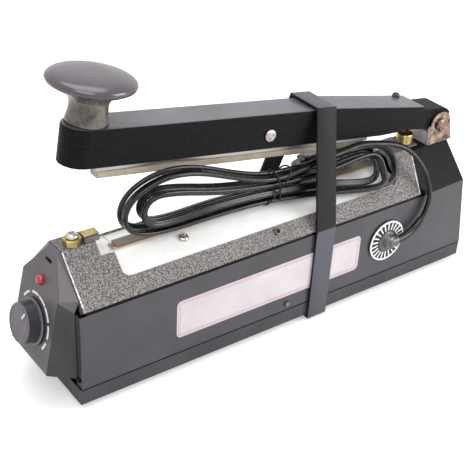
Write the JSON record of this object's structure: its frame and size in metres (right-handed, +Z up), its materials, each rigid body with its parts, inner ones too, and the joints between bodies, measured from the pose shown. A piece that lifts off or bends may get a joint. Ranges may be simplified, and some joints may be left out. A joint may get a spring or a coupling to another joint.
{
  "type": "hand impulse heat sealer",
  "caption": "Hand impulse heat sealer with a mushroom-knob lever, timer dial, white sealing bed, stowed mains cord and a transport strap.",
  "frame": {"origin": "centre of the bounding box's bottom face, cord left out: on the counter under the middle of the device", "axes": "+X runs along the device from the timer dial to the hinge, +Z is up, +Y is the side away from the cord gland"},
  "size_m": [0.3234, 0.0706, 0.1891],
  "materials": {
    "dark_enamel": "satin dark grey-brown enamel",
    "hammer_paint": "warm grey hammered paint",
    "cap_paint": "grey enamel",
    "white_enamel": "white enamel",
    "arm_enamel": "satin dark enamel, fine texture",
    "plated_screw": "dull plating",
    "plated_bracket": "bright plating",
    "steel": "plain steel",
    "brass": "dull brass",
    "terminal_resin": "brown insulating resin",
    "insulator_board": "insulating board",
    "sealing_cloth": "smooth coated glass cloth",
    "silicone": "beige silicone strip",
    "gloss_knob": "gloss dark grey",
    "dial_plastic": "satin dark plastic",
    "lamp_lens": "clear red lens",
    "cord_jacket": "black cord jacket",
    "gland_rubber": "dark rubber with a grey hub",
    "strap_webbing": "black strapping band",
    "foot_rubber": "black rubber",
    "laminated_core": "laminated steel",
    "copper_winding": "enamelled copper wire",
    "board_green": "green circuit board"
  },
  "bodies": {
    "base": {"base_tray": "dark_enamel", "foot_front_near": "foot_rubber", "foot_front_far": "foot_rubber", "foot_rear_near": "foot_rubber", "foot_rear_far": "foot_rubber", "side_housing": "dark_enamel", "rear_end_plate": "dark_enamel", "top_cover": "hammer_paint", "platform_plate": "white_enamel", "ridge_insulator": "insulator_board", "heating_strip": "steel", "sealing_cloth": "sealing_cloth", "terminal_block": "terminal_resin", "terminal_tab": "brass", "terminal_nut_front": "brass", "terminal_screw": "plated_screw", "terminal_base_rear": "terminal_resin", "terminal_bush_rear": "brass", "front_end_cap": "cap_paint", "indicator_lamp": "lamp_lens", "timer_pot": "steel", "transformer_core": "laminated_core", "transformer_coil": "copper_winding", "circuit_board": "board_green", "cover_screw_near": "dark_enamel", "cover_screw_far": "dark_enamel", "side_screw_near": "plated_screw", "side_screw_far": "plated_screw", "cap_screw_near": "plated_screw", "cap_screw_far": "plated_screw", "plate_screw_front_near": "plated_screw", "plate_screw_front_far": "plated_screw", "plate_screw_rear_near": "plated_screw", "plate_screw_rear_far": "plated_screw", "hinge_bracket": "plated_bracket", "bracket_screw_front": "plated_screw", "bracket_screw_rear": "plated_screw", "hinge_pin": "plated_screw", "hinge_nut": "plated_screw", "hinge_bush": "brass", "return_spring": "steel", "cord_gland": "gland_rubber", "transport_strap": "strap_webbing", "cord_hank": "cord_jacket", "cord_lead": "cord_jacket", "cord_tail": "cord_jacket", "cord_tie": "cord_jacket", "plug_body": "cord_jacket", "plug_pin_near": "plated_screw", "plug_pin_far": "plated_screw"},
    "arm": {"arm_channel": "arm_enamel", "arm_tang": "arm_enamel", "pressure_bar": "steel", "silicone_strip": "silicone", "handle_knob": "gloss_knob", "handle_screw": "plated_screw", "arm_screw_near": "plated_screw", "arm_screw_far": "plated_screw"},
    "dial": {"timer_knob": "dial_plastic", "timer_shaft": "steel"}
  },
  "joints": [
    {"name": "arm_hinge", "type": "hinge", "parent": "base", "child": "arm", "pos_m": [0.1455, 0, 0.1007], "axis": [0, 1, 0], "range_deg": [0, 25], "deforming": ["transport_strap"]},
    {"name": "timer_dial", "type": "hinge", "parent": "base", "child": "dial", "pos_m": [-0.14929, 0, 0.048], "axis": [-0.9779, 0, 0.2091], "range_deg": [-104, 166]}
  ]
}
